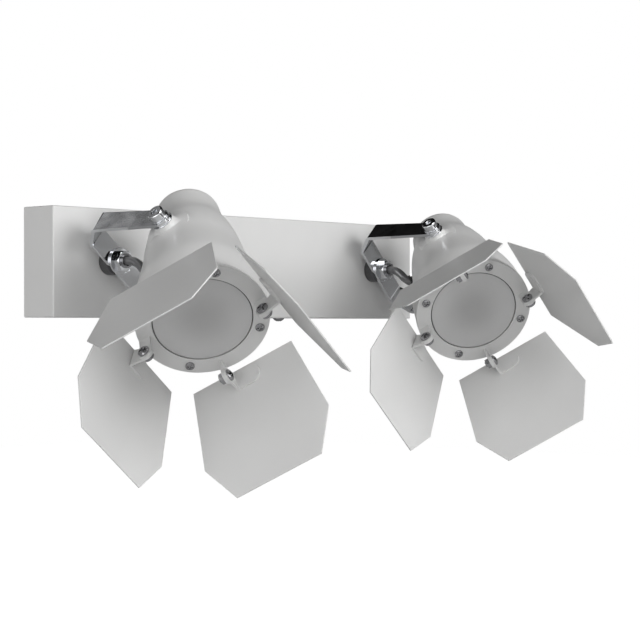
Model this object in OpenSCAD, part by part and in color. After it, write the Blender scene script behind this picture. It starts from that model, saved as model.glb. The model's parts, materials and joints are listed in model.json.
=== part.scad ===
// Two-head wall spotlight with barn doors: a long sheet-metal wall box carries two bell-shaped
// heads on bent strip yokes. Millimetres, +Z up, the wall is the plane y = 0 and the room is at -Y.
// The origin is the middle of the box's back face.

/* [Wall box] */
// Length of the box along the wall
box_w = 384; // [380:1:460]
// Height of the box
box_h = 75; // [72:1:90]
// Depth of the box from the wall
box_d = 30; // [30:0.5:40]
// Sheet thickness of the cover
box_t = 1.5; // [1.2:0.1:2]
// Rounding of the cover's outer edges
box_r = 1.1; // [0.6:0.1:1.1]
// Thickness of the back plate
plate_t = 1.5; // [1.2:0.1:2]

/* [Stems] */
// Distance of each stem from the end of the box
stem_in = 50; // [45:1:60]
// Height of the stems above the middle of the box
stem_z = 1; // [-2:0.5:4]
// Outer diameter of the threaded hollow stem
stem_d = 10; // [9.6:0.1:10.4]
// Bore of the stem for the lamp cable
stem_bore = 6.8; // [6.6:0.1:7.2]
// Length of the round spacer between box and yoke
spacer_l = 8; // [7:0.5:10]
// Diameter of the spacer
spacer_d = 19; // [17:0.5:22]

/* [Yoke] */
// Thickness of the yoke strip
strip_t = 2.5; // [2:0.1:3]
// Width of the strip at its back
strip_w = 15.5; // [14:0.5:18]
// Width of the arms at their round tips
tip_w = 13.5; // [12:0.5:14]
// How far inside the ring's edge the outer faces of the arms lie
arm_inset = 2.5; // [0:0.5:3]
// Height of the folded 45 degree corner, along both legs
corner_u = 14.5; // [12:0.5:16]
// Distance from the box front to the pivot of the head
pivot_out = 82; // [80:1:95]

/* [Head] */
// Distance from the pivot to the front face of the ring
ring_out = 66.5; // [64:0.5:72]
// Distance from the pivot back to the end of the bell
bell_back = 54; // [52:0.5:55]
// Diameter of the ring and of the bell's flange
ring_d = 86; // [84:0.5:87]
// Width of the ring around the lens
ring_w = 10.7; // [10.5:0.1:11.5]
// Thickness of the ring and of the flange
ring_t = 2; // [1.6:0.1:2.4]
// Wall thickness of the bell
bell_t = 1.6; // [1.4:0.1:2]
// Diameter of the pivot bosses on the bell
boss_d = 15; // [14:0.5:16]
// Distance of the ring screws from the ring's edge
screw_in = 5.5; // [5:0.1:5.6]

/* [Barn doors] */
// Distance of the hinge axes in from the ring's edge
hinge_in = 3.8; // [3:0.1:4]
// Height of the hinge axes above the ring
hinge_up = 12.3; // [12:0.1:14]
// Thickness of a door
door_t = 1; // [0.8:0.1:1.2]
// Distance of a door's inner face from its hinge axis
door_off = 11.4; // [11.2:0.1:12.5]
// How far a door reaches behind its hinge axis
door_tail = 8; // [7:0.1:8.4]
// How much narrower than the ring a door is at its hinge edge
door_neck = 11.5; // [8:0.5:20]
// How much wider than the ring a door is at its widest
door_flare = 6; // [0:0.5:10]
// How much narrower than the ring a door is at its far edge
door_taper = 24; // [16:0.5:32]
// Length of a door from the hinge edge to its greatest width
door_l1 = 55.5; // [48:0.5:60]
// Length of a door from its greatest width to the far edge
door_l2 = 28.3; // [22:0.1:34]
// Thickness of the ears and hinge leaves
leaf_t = 1.5; // [1.2:0.1:1.6]

/* [Pose] */
// Swivel of the left yoke about its stem
left_swivel_angle = 39.2; // [0:0.1:90]
// Swivel of the right yoke about its stem
right_swivel_angle = 46.6; // [0:0.1:90]
// Tilt of the left head away from the wall normal
left_tilt = 52.3; // [0:0.1:80]
// Tilt of the right head away from the wall normal
right_tilt = 47.4; // [0:0.1:80]
// Turn of the left ring and its doors about the lamp axis, as its screws hold it
left_ring_angle = -0.7; // [-5:0.1:5]
// Turn of the right ring and its doors about the lamp axis, as its screws hold it
right_ring_angle = 2.4; // [-5:0.1:5]
// Opening of the four left doors from parallel to the lamp axis
left_door_angles = [20, 21.3, 17.8, 18.6]; // [0:0.1:36]
// Opening of the four right doors from parallel to the lamp axis
right_door_angles = [20.6, 20.6, 23.8, 30]; // [0:0.1:36]

/* [Hidden] */
$fn = 64;

// The two lamps and their pose
LEFT = 0;
RIGHT = 1;
side = [-1, 1];
swivel = [left_swivel_angle, right_swivel_angle];
tilt = [left_tilt, right_tilt];
doors_open = [left_door_angles, right_door_angles];
ring_turn = [left_ring_angle, right_ring_angle];

// Overrun of every cut, running clearance of pins and bores, clearance of loose fits
cut = 1;
run_fit = 0.05;
loose_fit = 0.2;

// Colours
paint = [0.80, 0.80, 0.79];
chrome = [0.62, 0.63, 0.65];
steel = [0.55, 0.55, 0.56];
dark = [0.20, 0.20, 0.21];
rubber = [0.16, 0.16, 0.17];

// Cover screws: places along the box and from the wall, dome head and shank
cover_screw_x = 48;
cover_screw_y = 15;
cover_head_d = 8.4;
cover_head_h = 2.5;
cover_head_edge = 0.4;
cover_shank_d = 4;
cover_shank_l = 7;

// Back plate: lugs for the cover screws, wall slots, cable entry
lug_w = 22;
lug_l = 22;
slot_x = 100;
slot_d = 5.2;
slot_l = 12;
entry_share = 0.2933;
entry_d = 14;
earth_x = 34;
earth_z = -20;

// Rubber grommet of the mains entry
grommet_bore = 9;
grommet_lip_d = 18;
grommet_lip_t = 1.5;

// Terminal block and its wiring
block_w = 36;
block_h = 18;
block_deep = 14;
block_poles = 3;
block_screw_d = 3.4;
lead_d = 4;
lead_bend = 8;
lead_y = 10;

// Earth terminal: stud and nut
earth_d = 4;
earth_l = 10;
earth_af = 7;
earth_nut_h = 3.2;

// Stem nuts and washers
stem_af = 13.6;
stem_nut_h = 5.5;
stem_nut_in_h = 4;
stem_washer_d = 18.5;
stem_washer_t = 1.5;
stem_inside = 9;
stem_tail = 1.5;

// Yoke folds
fold_r = 2.5;
fold_turn = 45;

// Pivot screw: head, shank, washers
knob_d = 11;
knob_h = 5;
knob_bevel = 0.6;
pivot_d = 6;
pivot_in = 10;
pivot_washer_t = 1;
pivot_play = 0.1;
outer_washer_d = 12;
boss_pad = 4;

// Bell: shape from the rear end to the flange, as shares of length and of flange radius
bell_shares = [[0, 0.33], [0.006, 0.42], [0.022, 0.48], [0.048, 0.51], [0.086, 0.522], [0.155, 0.55],
    [0.224, 0.596], [0.293, 0.66], [0.38, 0.721], [0.466, 0.765], [0.552, 0.8], [0.638, 0.846],
    [0.725, 0.9], [0.811, 0.95], [0.897, 0.975], [1, 0.985]];
waist_share = 0.732;
shelf_share = 0.63;
crown_share = 0.1;
seat_t = 1.4;
seat_w = 1.2;
gasket_t = 0.6;
gasket_in = 0.3;
gasket_out = 1;
insert_d = 6.2;
insert_l = 5;
shelf_z = -17;
shelf_t = 2;
holder_d = 25;
cable_hole_d = 11;
bell_grommet_bore = 8;
bell_lip = 1.5;
grommet_neck = 4.5;
grommet_seat = 1.6;
cable_hole_z = -8;

// Lens: upper part in the ring, wider foot under it
lens_gap = 0.5;
lens_drop = 0.4;
lens_foot = 2;

// Reflector, bulb and lamp holder
reflector_t = 0.8;
reflector_back_z = 21;
reflector_back_share = 0.8204;
reflector_mid_share = 0.9474;
reflector_front_share = 1.0031;
reflector_lip = 1.8;
bulb_share = 0.774;
bulb_front_z = 22;
bulb_neck_r = 10.5;
bulb_neck_z = -6;
bulb_rim = 4;
holder_flange_d = 30;
holder_flange_t = 3;
holder_l = 14;
holder_well_d = 22;
holder_well = 2;
pin_gap = 10;
pin_d = 4;
pin_l = 7;

// Ring screws, M3 pan heads
ring_head_d = 6;
ring_head_h = 2;
ring_head_edge = 1;
ring_shank_d = 3;
ring_shank_l = 7;

// Hinge bolts and nuts, M4, and the shape of ears and leaves
hinge_plane = -7.7;
ear_r = 5;
ear_out = 2.8;
ear_root = 0.6;
ear_shoulder = 6;
bolt_head_d = 8;
bolt_head_h = 2.6;
bolt_head_edge = 1.1;
bolt_d = 4;
bolt_tail = 0.8;
hinge_af = 7;
hinge_nut_h = 3;
leaf_half = 6.5;
leaf_end = 11;
leaf_fold_r = 1.8;

// Cross recess, as shares of a screw head's diameter and height
recess_len_share = 0.62;
recess_wide_share = 0.16;
recess_deep_share = 0.55;

// Hexagon socket, as shares of a screw head's diameter and height
socket_share = 0.42;
socket_deep_share = 0.5;

// Lamp cable: diameter, sides, and its route out from the box front in the yoke's own frame,
// as [sideways along the strip's width, out from the box front]
cable_d = 6.2;
cable_sides = 10;
left_route = [[0, -9], [0, -3], [0, 4], [0, 10], [0, 16], [0, 20], [-0.4, 24], [-1.4, 28], [-3, 32],
    [-5, 36], [-7.2, 40], [-9.2, 44], [-10.6, 48], [-11.3, 52], [-10.9, 56], [-9.6, 60]];
right_route = [[0, -9], [0, -3], [0, 4], [0, 10], [0, 16], [-0.3, 20], [-1.1, 24], [-2.5, 28],
    [-4.6, 32], [-7, 36], [-9.5, 40], [-11.6, 44], [-13.2, 48], [-14, 52], [-13.7, 56], [-12.4, 60]];
routes = [left_route, right_route];

// Where the cable enters the bell on those routes, and how much each point follows that place
left_mouth = [-12.72, 51.46];
right_mouth = [-15.84, 52.96];
mouths = [left_mouth, right_mouth];
follow_shares = [0, 0, 0, 0, 0, 0, 0.02, 0.08, 0.17, 0.3, 0.45, 0.6, 0.75, 0.88, 0.97, 1];

// Sizes that follow from the others
stem_gap = box_w - 2 * stem_in;
entry_z = -entry_share * box_h;
ring_bore = ring_d - 2 * ring_w;
screw_circle_d = ring_d - 2 * screw_in;
hinge_r = ring_d / 2 - hinge_in;
door_w0 = ring_d - door_neck;
door_w1 = ring_d + door_flare;
door_w2 = ring_d - door_taper;
reflector_back_r = reflector_back_share * ring_bore / 2;
reflector_mid_r = reflector_mid_share * ring_bore / 2;
reflector_front_r = reflector_front_share * ring_bore / 2;
bulb_r = bulb_share * ring_bore / 2;
plate_h = box_h - 2 * box_t - 2 * loose_fit;
plate_w = box_w - 2 * box_t - 2 * loose_fit;
arm_u = ring_d / 2 - arm_inset;
arm_in = arm_u - strip_t;
back_u = arm_u - corner_u;
nut_z = spacer_l + strip_t + stem_washer_t;
stem_end = nut_z + stem_nut_h + stem_tail;
boss_face = arm_in - pivot_washer_t;
flange_front = ring_out - ring_t - gasket_t;
bell_l = bell_back + flange_front - ring_t;
lens_r = ring_bore / 2 - lens_gap;
foot_r = lens_r + lens_foot + lens_gap;
hinge_z = ring_out + hinge_up;
ear_side = [1, 1, -1, -1];
waist_r = waist_share * ring_d / 2;
seat_z = flange_front - ring_t - seat_t;
holder_floor = shelf_z + shelf_t + holder_flange_t - holder_well;

// The yoke's frame: z out of the box front along the stem, x along the pivot axis
module on_yoke(k) {
    translate([side[k] * stem_gap / 2, -box_d, stem_z])
        rotate([0, swivel[k], 0])
            rotate([90, 0, 0])
                children();
}

// The head's frame: z along the lamp axis, x along the pivot axis, origin on the pivot
module on_head(k) {
    on_yoke(k)
        translate([0, 0, pivot_out])
            rotate([tilt[k], 0, 0])
                children();
}

// The head's frame, turned about the lamp axis to where the ring is screwed on
module on_ring(k) {
    on_head(k)
        rotate([0, 0, ring_turn[k]])
            children();
}

// A hinge of the head before its door turns: x away from the lamp axis, y along the hinge
module on_hinge(k, i) {
    on_ring(k)
        rotate([0, 0, 90 * (i - 1)])
            translate([hinge_r, 0, hinge_z])
                children();
}

// The frame of door i: y along the hinge, z along the door away from the ring
module on_door(k, i) {
    on_hinge(k, i)
        rotate([0, doors_open[k][i - 1], 0])
            children();
}

// The frame of both stems in turn
module on_stems() {
    for (k = [LEFT, RIGHT])
        translate([side[k] * stem_gap / 2, -box_d, stem_z])
            rotate([90, 0, 0])
                children();
}

// A plate with a round hole
module washer(d, bore, t) {
    difference() {
        cylinder(d = d, h = t);
        translate([0, 0, -cut])
            cylinder(d = bore, h = t + 2 * cut);
    }
}

// A hexagon nut with a chamfered top and its bore
module nut(af, bore, h) {
    across = af / cos(30);
    bevel = (across - af) / 2;
    difference() {
        intersection() {
            cylinder(d = across, h = h, $fn = 6);
            rotate_extrude()
                polygon([[0, 0], [across / 2, 0], [across / 2, h - bevel], [af / 2, h], [0, h]]);
        }
        translate([0, 0, -cut])
            cylinder(d = bore, h = h + 2 * cut);
    }
}

// A screw with a domed head and a cross recess, its head on z = 0 and its shank below
module screw(head_d, head_h, edge, shank_d, shank_l) {
    rise = head_h - edge;
    ball = (head_d * head_d / 4 + rise * rise) / (2 * rise);
    deep = head_h * recess_deep_share;
    long = head_d * recess_len_share;
    wide = head_d * recess_wide_share;
    difference() {
        union() {
            intersection() {
                cylinder(d = head_d, h = head_h);
                translate([0, 0, head_h - ball])
                    sphere(r = ball);
            }
            translate([0, 0, -shank_l])
                cylinder(d = shank_d, h = shank_l + edge);
        }
        for (turn = [0, 90])
            rotate([0, 0, turn])
                translate([-long / 2, -wide / 2, head_h - deep])
                    cube([long, wide, deep + cut]);
    }
}

// A screw with a straight head and a hexagon socket, its head on z = 0 and its shank below
module socket_screw(head_d, head_h, bevel, shank_d, shank_l) {
    difference() {
        union() {
            rotate_extrude()
                polygon([[0, 0], [head_d / 2, 0], [head_d / 2, head_h - bevel],
                    [head_d / 2 - bevel, head_h], [0, head_h]]);
            translate([0, 0, -shank_l])
                cylinder(d = shank_d, h = shank_l + bevel);
        }
        translate([0, 0, head_h - socket_deep_share * head_h])
            cylinder(d = socket_share * head_d, h = head_h, $fn = 6);
    }
}

// What a fold's round corner takes away from an outline, past the arc between its two tangents
module fold_waste(at, facing, r, turn) {
    reach = 1 / cos(turn / 2);
    middle = at - r * reach * [cos(facing), sin(facing)];
    tip = middle + (r + cut) * reach * [cos(facing), sin(facing)];
    ends = [for (s = [-1, 1]) middle + (r + cut) * [cos(facing + s * turn / 2), sin(facing + s * turn / 2)]];
    difference() {
        polygon([tip, ends[1], middle, ends[0]]);
        translate(middle)
            circle(r = r);
    }
}

// Wall box

module rounded_sheet(a, b, r) {
    for (x = [0, 1])
        translate([-a / 2 + r * (1 - x), -b / 2 + r * x])
            square([a - 2 * r * (1 - x), b - 2 * r * x]);
    for (x = [-1, 1], y = [-1, 1])
        translate([x * (a / 2 - r), y * (b / 2 - r)])
            circle(r = r);
}

module cover_body() {
    intersection() {
        translate([0, 0, -box_h / 2])
            linear_extrude(box_h)
                rounded_sheet(box_w, 2 * box_d, box_r);
        rotate([90, 0, 0])
            linear_extrude(box_d)
                rounded_sheet(box_w, box_h, box_r);
        translate([-box_w / 2, 0, 0])
            rotate([90, 0, 90])
                linear_extrude(box_w)
                    rounded_sheet(2 * box_d, box_h, box_r);
    }
}

module cover() {
    color(paint)
        difference() {
            cover_body();
            translate([-box_w / 2 + box_t, -box_d + box_t, -box_h / 2 + box_t])
                cube([box_w - 2 * box_t, box_d - box_t + cut, box_h - 2 * box_t]);
            on_stems()
                translate([0, 0, -box_t - cut])
                    cylinder(d = stem_d + 2 * run_fit, h = box_t + 2 * cut);
            for (x = [-1, 1])
                translate([x * cover_screw_x, -cover_screw_y, -box_h / 2 - cut])
                    cylinder(d = cover_shank_d + 2 * run_fit, h = box_t + 2 * cut);
        }
}

module wall_slot() {
    rotate([90, 0, 0])
        translate([0, 0, -cut])
            linear_extrude(plate_t + 2 * cut) {
                square([slot_l - slot_d, slot_d], center = true);
                for (x = [-1, 1])
                    translate([x * (slot_l - slot_d) / 2, 0])
                        circle(d = slot_d);
            }
}

module back_plate() {
    color(steel)
        difference() {
            union() {
                translate([-plate_w / 2, -plate_t, -plate_h / 2])
                    cube([plate_w, plate_t, plate_h]);
                for (x = [-1, 1], z = [0, 1])
                    translate([x * cover_screw_x - lug_w / 2, -lug_l, -plate_h / 2 + z * (plate_h - plate_t)])
                        cube([lug_w, lug_l, plate_t]);
            }
            for (x = [-1, 1])
                translate([x * cover_screw_x, -cover_screw_y, -box_h / 2])
                    cylinder(d = cover_shank_d, h = box_h / 2);
            for (x = [-1, 1])
                translate([x * slot_x, 0, 0])
                    wall_slot();
            translate([0, cut, entry_z])
                rotate([90, 0, 0])
                    cylinder(d = entry_d, h = plate_t + 2 * cut);
            translate([earth_x, cut, earth_z])
                rotate([90, 0, 0])
                    cylinder(d = earth_d, h = plate_t + 2 * cut);
        }
}

module cover_screws() {
    color(steel)
        for (x = [-1, 1])
            mirror([0, 0, 1])
                translate([x * cover_screw_x, -cover_screw_y, box_h / 2])
                    screw(cover_head_d, cover_head_h, cover_head_edge, cover_shank_d, cover_shank_l);
}

module terminal_block() {
    pitch = block_w / block_poles;
    color([0.85, 0.84, 0.80])
        difference() {
            translate([-block_w / 2, -plate_t - block_deep, stem_z - block_h / 2])
                cube([block_w, block_deep, block_h]);
            for (i = [0:block_poles - 1])
                translate([(i + 0.5) * pitch - block_w / 2, -plate_t - block_deep / 2, stem_z])
                    rotate([90, 0, 0])
                        cylinder(d = block_screw_d, h = block_deep);
        }
}

module earth_terminal() {
    color([0.78, 0.66, 0.36])
        translate([earth_x, 0, earth_z])
            rotate([90, 0, 0]) {
                cylinder(d = earth_d, h = earth_l);
                translate([0, 0, plate_t])
                    nut(earth_af, earth_d, earth_nut_h);
            }
}

module cable_grommet() {
    color(rubber)
        translate([0, 0, entry_z])
            rotate([90, 0, 0])
                difference() {
                    union() {
                        cylinder(d = entry_d, h = plate_t);
                        translate([0, 0, plate_t])
                            cylinder(d = grommet_lip_d, h = grommet_lip_t);
                    }
                    translate([0, 0, -cut])
                        cylinder(d = grommet_bore, h = plate_t + grommet_lip_t + 2 * cut);
                }
}

// Wires from the inner ends of the stems round a bend to the terminal block
module leads() {
    color([0.7, 0.7, 0.68])
        for (s = side)
            translate([s * stem_gap / 2, 0, stem_z])
                mirror([s > 0 ? 0 : 1, 0, 0]) {
                    translate([-lead_bend, -lead_y - lead_bend, 0])
                        rotate_extrude(angle = 90)
                            translate([lead_bend, 0])
                                circle(d = lead_d);
                    translate([0, -box_d + stem_inside, 0])
                        rotate([-90, 0, 0])
                            cylinder(d = lead_d, h = box_d - stem_inside - lead_y - lead_bend);
                    translate([-lead_bend, -lead_y, 0])
                        rotate([0, -90, 0])
                            cylinder(d = lead_d, h = stem_gap / 2 - lead_bend - block_w / 2);
                }
}

// Stems and what clamps the yokes on them

module spacers() {
    color(dark)
        on_stems()
            washer(spacer_d, stem_d + 2 * run_fit, spacer_l);
}

module stems() {
    color(steel)
        on_stems()
            translate([0, 0, -stem_inside])
                washer(stem_d, stem_bore, stem_inside + stem_end);
}

module stem_nuts() {
    color(chrome)
        on_stems() {
            translate([0, 0, nut_z])
                nut(stem_af, stem_d, stem_nut_h);
            translate([0, 0, -box_t - stem_washer_t])
                mirror([0, 0, 1])
                    nut(stem_af, stem_d, stem_nut_in_h);
        }
}

module stem_washers() {
    color(chrome)
        on_stems()
            for (z = [nut_z - stem_washer_t, -box_t - stem_washer_t])
                translate([0, 0, z])
                    washer(stem_washer_d, stem_d + 2 * run_fit, stem_washer_t);
}

// Yoke: a strip folded in one plane, with arms that narrow to round tips

module yoke_outline(inset) {
    slip = inset * tan(fold_turn / 2);
    low = spacer_l + inset;
    top = pivot_out + tip_w;
    u0 = back_u - slip;
    u1 = arm_u - inset;
    fold = spacer_l + corner_u + slip;
    r = fold_r + strip_t - inset;
    difference() {
        polygon([[-u1, top], [-u1, fold], [-u0, low], [u0, low], [u1, fold], [u1, top]]);
        for (s = [0, 1])
            mirror([s, 0]) {
                fold_waste([u0, low], -1.5 * fold_turn, r, fold_turn);
                fold_waste([u1, fold], -0.5 * fold_turn, r, fold_turn);
            }
    }
}

module yoke(k) {
    color(chrome)
        on_yoke(k)
            difference() {
                intersection() {
                    translate([0, strip_w / 2, 0])
                        rotate([90, 0, 0])
                            linear_extrude(strip_w)
                                difference() {
                                    yoke_outline(0);
                                    yoke_outline(strip_t);
                                }
                    translate([-arm_u - cut, 0, 0])
                        rotate([90, 0, 90])
                            linear_extrude(2 * arm_u + 2 * cut) {
                                polygon([[-strip_w / 2, 0], [strip_w / 2, 0], [strip_w / 2, spacer_l + corner_u],
                                    [tip_w / 2, pivot_out], [-tip_w / 2, pivot_out],
                                    [-strip_w / 2, spacer_l + corner_u]]);
                                translate([0, pivot_out])
                                    circle(d = tip_w);
                            }
                }
                cylinder(d = stem_d + 2 * run_fit, h = nut_z);
                translate([-arm_u - cut, 0, pivot_out])
                    rotate([0, 90, 0])
                        cylinder(d = pivot_d + 2 * run_fit, h = 2 * arm_u + 2 * cut);
            }
}

module on_pivots(k) {
    on_head(k)
        for (s = [-1, 1])
            rotate([0, s * 90, 0])
                children();
}

module pivot_screws(k) {
    color(chrome)
        on_pivots(k)
            translate([0, 0, arm_u + pivot_washer_t])
                socket_screw(knob_d, knob_h, knob_bevel, pivot_d, strip_t + 2 * pivot_washer_t + pivot_in);
}

module pivot_washers(k) {
    color(chrome)
        on_pivots(k) {
            translate([0, 0, arm_u + pivot_play])
                washer(outer_washer_d, pivot_d + 2 * run_fit, pivot_washer_t - pivot_play);
            translate([0, 0, boss_face])
                washer(boss_d, pivot_d + 2 * run_fit, pivot_washer_t - pivot_play);
        }
}

// Bell: a turned shell, closed behind, with a seat for the lens inside its flange

function bell_outer() = [for (p = bell_shares) [p[1] * ring_d / 2, p[0] * bell_l - bell_back]];
function bell_inner() = [for (p = bell_shares) [p[1] * ring_d / 2 - bell_t,
    min(p[0] * bell_l - bell_back + bell_t * max(0, 1 - p[0] / crown_share), seat_z)]];

module bell_shell() {
    rotate_extrude()
        difference() {
            union() {
                polygon(concat([[0, -bell_back]], bell_outer(), [[0, flange_front - ring_t]]));
                translate([0, flange_front - ring_t])
                    square([ring_d / 2, ring_t]);
            }
            polygon(concat([[0, bell_t - bell_back]], bell_inner(), [[0, seat_z]]));
            translate([0, seat_z - cut])
                square([foot_r - seat_w, ring_t + seat_t + 2 * cut]);
            translate([0, flange_front - ring_t])
                square([foot_r + run_fit, ring_t + cut]);
        }
}

module bell_shelf() {
    rotate_extrude()
        difference() {
            translate([0, shelf_z])
                square([shelf_share * ring_d / 2, shelf_t]);
            translate([0, shelf_z - cut])
                square([holder_d / 2, shelf_t + 2 * cut]);
        }
}

module bell(k) {
    color(paint)
        on_head(k)
            difference() {
                union() {
                    bell_shell();
                    bell_shelf();
                    for (s = [-1, 1])
                        rotate([0, s * 90, 0])
                            translate([0, 0, waist_r - boss_pad])
                                cylinder(d = boss_d, h = boss_face - waist_r + boss_pad);
                    for (a = [45:90:315])
                        rotate([0, 0, a + ring_turn[k]])
                            translate([screw_circle_d / 2, 0, flange_front - ring_t - insert_l])
                                cylinder(d = insert_d, h = insert_l + ring_t);
                }
                for (s = [-1, 1])
                    rotate([0, s * 90, 0])
                        translate([0, 0, arm_in - pivot_washer_t - pivot_in])
                            cylinder(d = pivot_d, h = pivot_in + cut);
                for (a = [45:90:315])
                    rotate([0, 0, a + ring_turn[k]])
                        translate([screw_circle_d / 2, 0, flange_front - ring_t - insert_l - cut])
                            cylinder(d = ring_shank_d, h = insert_l + ring_t + 2 * cut);
                translate([0, 0, cable_hole_z])
                    rotate([90, 0, 0])
                        cylinder(d = cable_hole_d, h = ring_d / 2);
            }
}

module bell_grommet(k) {
    outer = waist_r + grommet_seat;
    color(rubber)
        on_head(k)
            translate([0, 0, cable_hole_z])
                rotate([90, 0, 0])
                    difference() {
                        union() {
                            translate([0, 0, outer - grommet_neck])
                                cylinder(d = cable_hole_d, h = grommet_neck);
                            translate([0, 0, outer])
                                cylinder(d = cable_hole_d + 2 * bell_lip, h = bell_lip);
                        }
                        translate([0, 0, outer - grommet_neck - cut])
                            cylinder(d = bell_grommet_bore, h = grommet_neck + bell_lip + 2 * cut);
                    }
}

// Lamp cable: one tube swept along its route in the plane of the yoke's back

function heading(route, i) =
    let (a = route[max(0, i - 1)], b = route[min(len(route) - 1, i + 1)])
        (b - a) / norm(b - a);

function mouth(k) =
    let (out = waist_r + grommet_seat + bell_lip)
        [-out * cos(tilt[k]) - cable_hole_z * sin(tilt[k]),
         pivot_out - out * sin(tilt[k]) + cable_hole_z * cos(tilt[k])];

function cable_route(k) = [for (i = [0:len(routes[k]) - 1])
    routes[k][i] + follow_shares[i] * (mouth(k) - mouths[k])];

function cable_rings(route) = [for (i = [0:len(route) - 1], j = [0:cable_sides - 1])
    let (way = heading(route, i), turn = 360 * j / cable_sides)
        [cos(turn) * cable_d / 2,
         route[i][0] + sin(turn) * way[1] * cable_d / 2,
         route[i][1] - sin(turn) * way[0] * cable_d / 2]];

function cable_skin(rings) = [for (i = [0:rings - 2], j = [0:cable_sides - 1], half = [0, 1])
    let (a = i * cable_sides + j, b = i * cable_sides + (j + 1) % cable_sides)
        half == 0 ? [a, b, b + cable_sides] : [a, b + cable_sides, a + cable_sides]];

module cable(k) {
    route = cable_route(k);
    first = [for (j = [cable_sides - 1:-1:0]) j];
    last = [for (j = [0:cable_sides - 1]) (len(route) - 1) * cable_sides + j];
    color([0.66, 0.66, 0.67])
        on_yoke(k)
            polyhedron(cable_rings(route), concat([first, last], cable_skin(len(route))));
}

// What the bell holds

module lamp_holder(k) {
    top = shelf_z + shelf_t;
    color([0.9, 0.89, 0.86])
        on_head(k)
            difference() {
                union() {
                    translate([0, 0, top])
                        cylinder(d = holder_flange_d, h = holder_flange_t);
                    translate([0, 0, top - holder_l])
                        cylinder(d = holder_d - 2 * run_fit, h = holder_l);
                }
                translate([0, 0, holder_floor])
                    cylinder(d = holder_well_d, h = holder_well + cut);
                for (s = [-1, 1])
                    translate([s * pin_gap / 2, 0, holder_floor - pin_l])
                        cylinder(d = pin_d, h = pin_l + cut);
            }
}

module bulb(k) {
    color([0.85, 0.86, 0.88])
        on_head(k) {
            rotate_extrude()
                polygon([[0, holder_floor], [bulb_neck_r, holder_floor], [bulb_neck_r, bulb_neck_z],
                    [bulb_r, bulb_front_z - bulb_rim], [bulb_r, bulb_front_z], [0, bulb_front_z]]);
            for (s = [-1, 1])
                translate([s * pin_gap / 2, 0, holder_floor - pin_l])
                    cylinder(d = pin_d, h = pin_l + bulb_rim);
        }
}

module reflector(k) {
    mid_z = (reflector_back_z + seat_z) / 2;
    rim_z = seat_z - reflector_t;
    color([0.86, 0.87, 0.88])
        on_head(k)
            rotate_extrude()
                polygon([[reflector_back_r - reflector_t, reflector_back_z],
                    [reflector_back_r, reflector_back_z], [reflector_mid_r, mid_z],
                    [reflector_front_r, rim_z], [reflector_front_r + reflector_lip, rim_z],
                    [reflector_front_r + reflector_lip, seat_z],
                    [reflector_front_r - reflector_t, seat_z], [reflector_mid_r - reflector_t, mid_z]]);
}

module lens(k) {
    color([0.84, 0.86, 0.86, 0.9])
        on_head(k) {
            translate([0, 0, seat_z + seat_t])
                cylinder(r = foot_r, h = ring_t);
            translate([0, 0, seat_z + seat_t])
                cylinder(r = lens_r, h = ring_out - lens_drop - seat_z - seat_t);
        }
}

module gasket(k) {
    color(rubber)
        on_ring(k)
            difference() {
                translate([0, 0, flange_front])
                    washer(ring_d - 2 * gasket_out, ring_bore + 2 * gasket_in, gasket_t);
                on_ring_screws()
                    translate([0, 0, -ring_t - gasket_t - cut])
                        cylinder(d = ring_shank_d + 2 * loose_fit, h = ring_t + gasket_t + 2 * cut);
            }
}

// Ring: a flat annulus with four ears that carry the hinges

module on_ring_screws() {
    for (a = [45:90:315])
        rotate([0, 0, a])
            translate([screw_circle_d / 2, 0, ring_out])
                children();
}

module ear() {
    foot = hinge_up + ear_root;
    translate([0, hinge_plane, 0])
        rotate([90, 0, 0])
            linear_extrude(leaf_t) {
                polygon([[-ear_r, -foot], [ear_out, -foot], [ear_out, -ear_shoulder], [ear_r, 0], [-ear_r, 0]]);
                circle(r = ear_r);
            }
}

module hinge_hole() {
    translate([0, hinge_plane - leaf_t - cut, 0])
        rotate([-90, 0, 0])
            cylinder(d = bolt_d + 2 * run_fit, h = 2 * leaf_t + 2 * cut);
}

module ring(k) {
    color(paint)
        difference() {
            union() {
                on_ring(k)
                    translate([0, 0, ring_out - ring_t])
                        washer(ring_d, ring_bore, ring_t);
                for (i = [1:4])
                    on_hinge(k, i)
                        ear();
            }
            on_ring(k)
                on_ring_screws()
                    translate([0, 0, -ring_t - cut])
                        cylinder(d = ring_shank_d + 2 * run_fit, h = ring_t + 2 * cut);
            for (i = [1:4])
                on_hinge(k, i)
                    hinge_hole();
        }
}

module ring_screws(k) {
    color(steel)
        on_ring(k)
            on_ring_screws()
                screw(ring_head_d, ring_head_h, ring_head_edge, ring_shank_d, ring_shank_l);
}

// The seat of a hinge bolt's head, z towards the head; it changes sides from door to door
module on_bolt(k, i) {
    s = ear_side[i - 1];
    on_hinge(k, i)
        translate([0, hinge_plane + (s > 0 ? leaf_t + run_fit : -leaf_t), 0])
            rotate([-90 * s, 0, 0])
                children();
}

module hinge_bolts(k) {
    color(steel)
        for (i = [1:4])
            on_bolt(k, i)
                screw(bolt_head_d, bolt_head_h, bolt_head_edge, bolt_d,
                    2 * leaf_t + run_fit + hinge_nut_h + bolt_tail);
}

module hinge_nuts(k) {
    color(steel)
        for (i = [1:4])
            on_bolt(k, i)
                translate([0, 0, -2 * leaf_t - run_fit])
                    mirror([0, 0, 1])
                        nut(hinge_af, bolt_d, hinge_nut_h);
}

// Door: a flat six-sided sheet, widest past its middle

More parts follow.
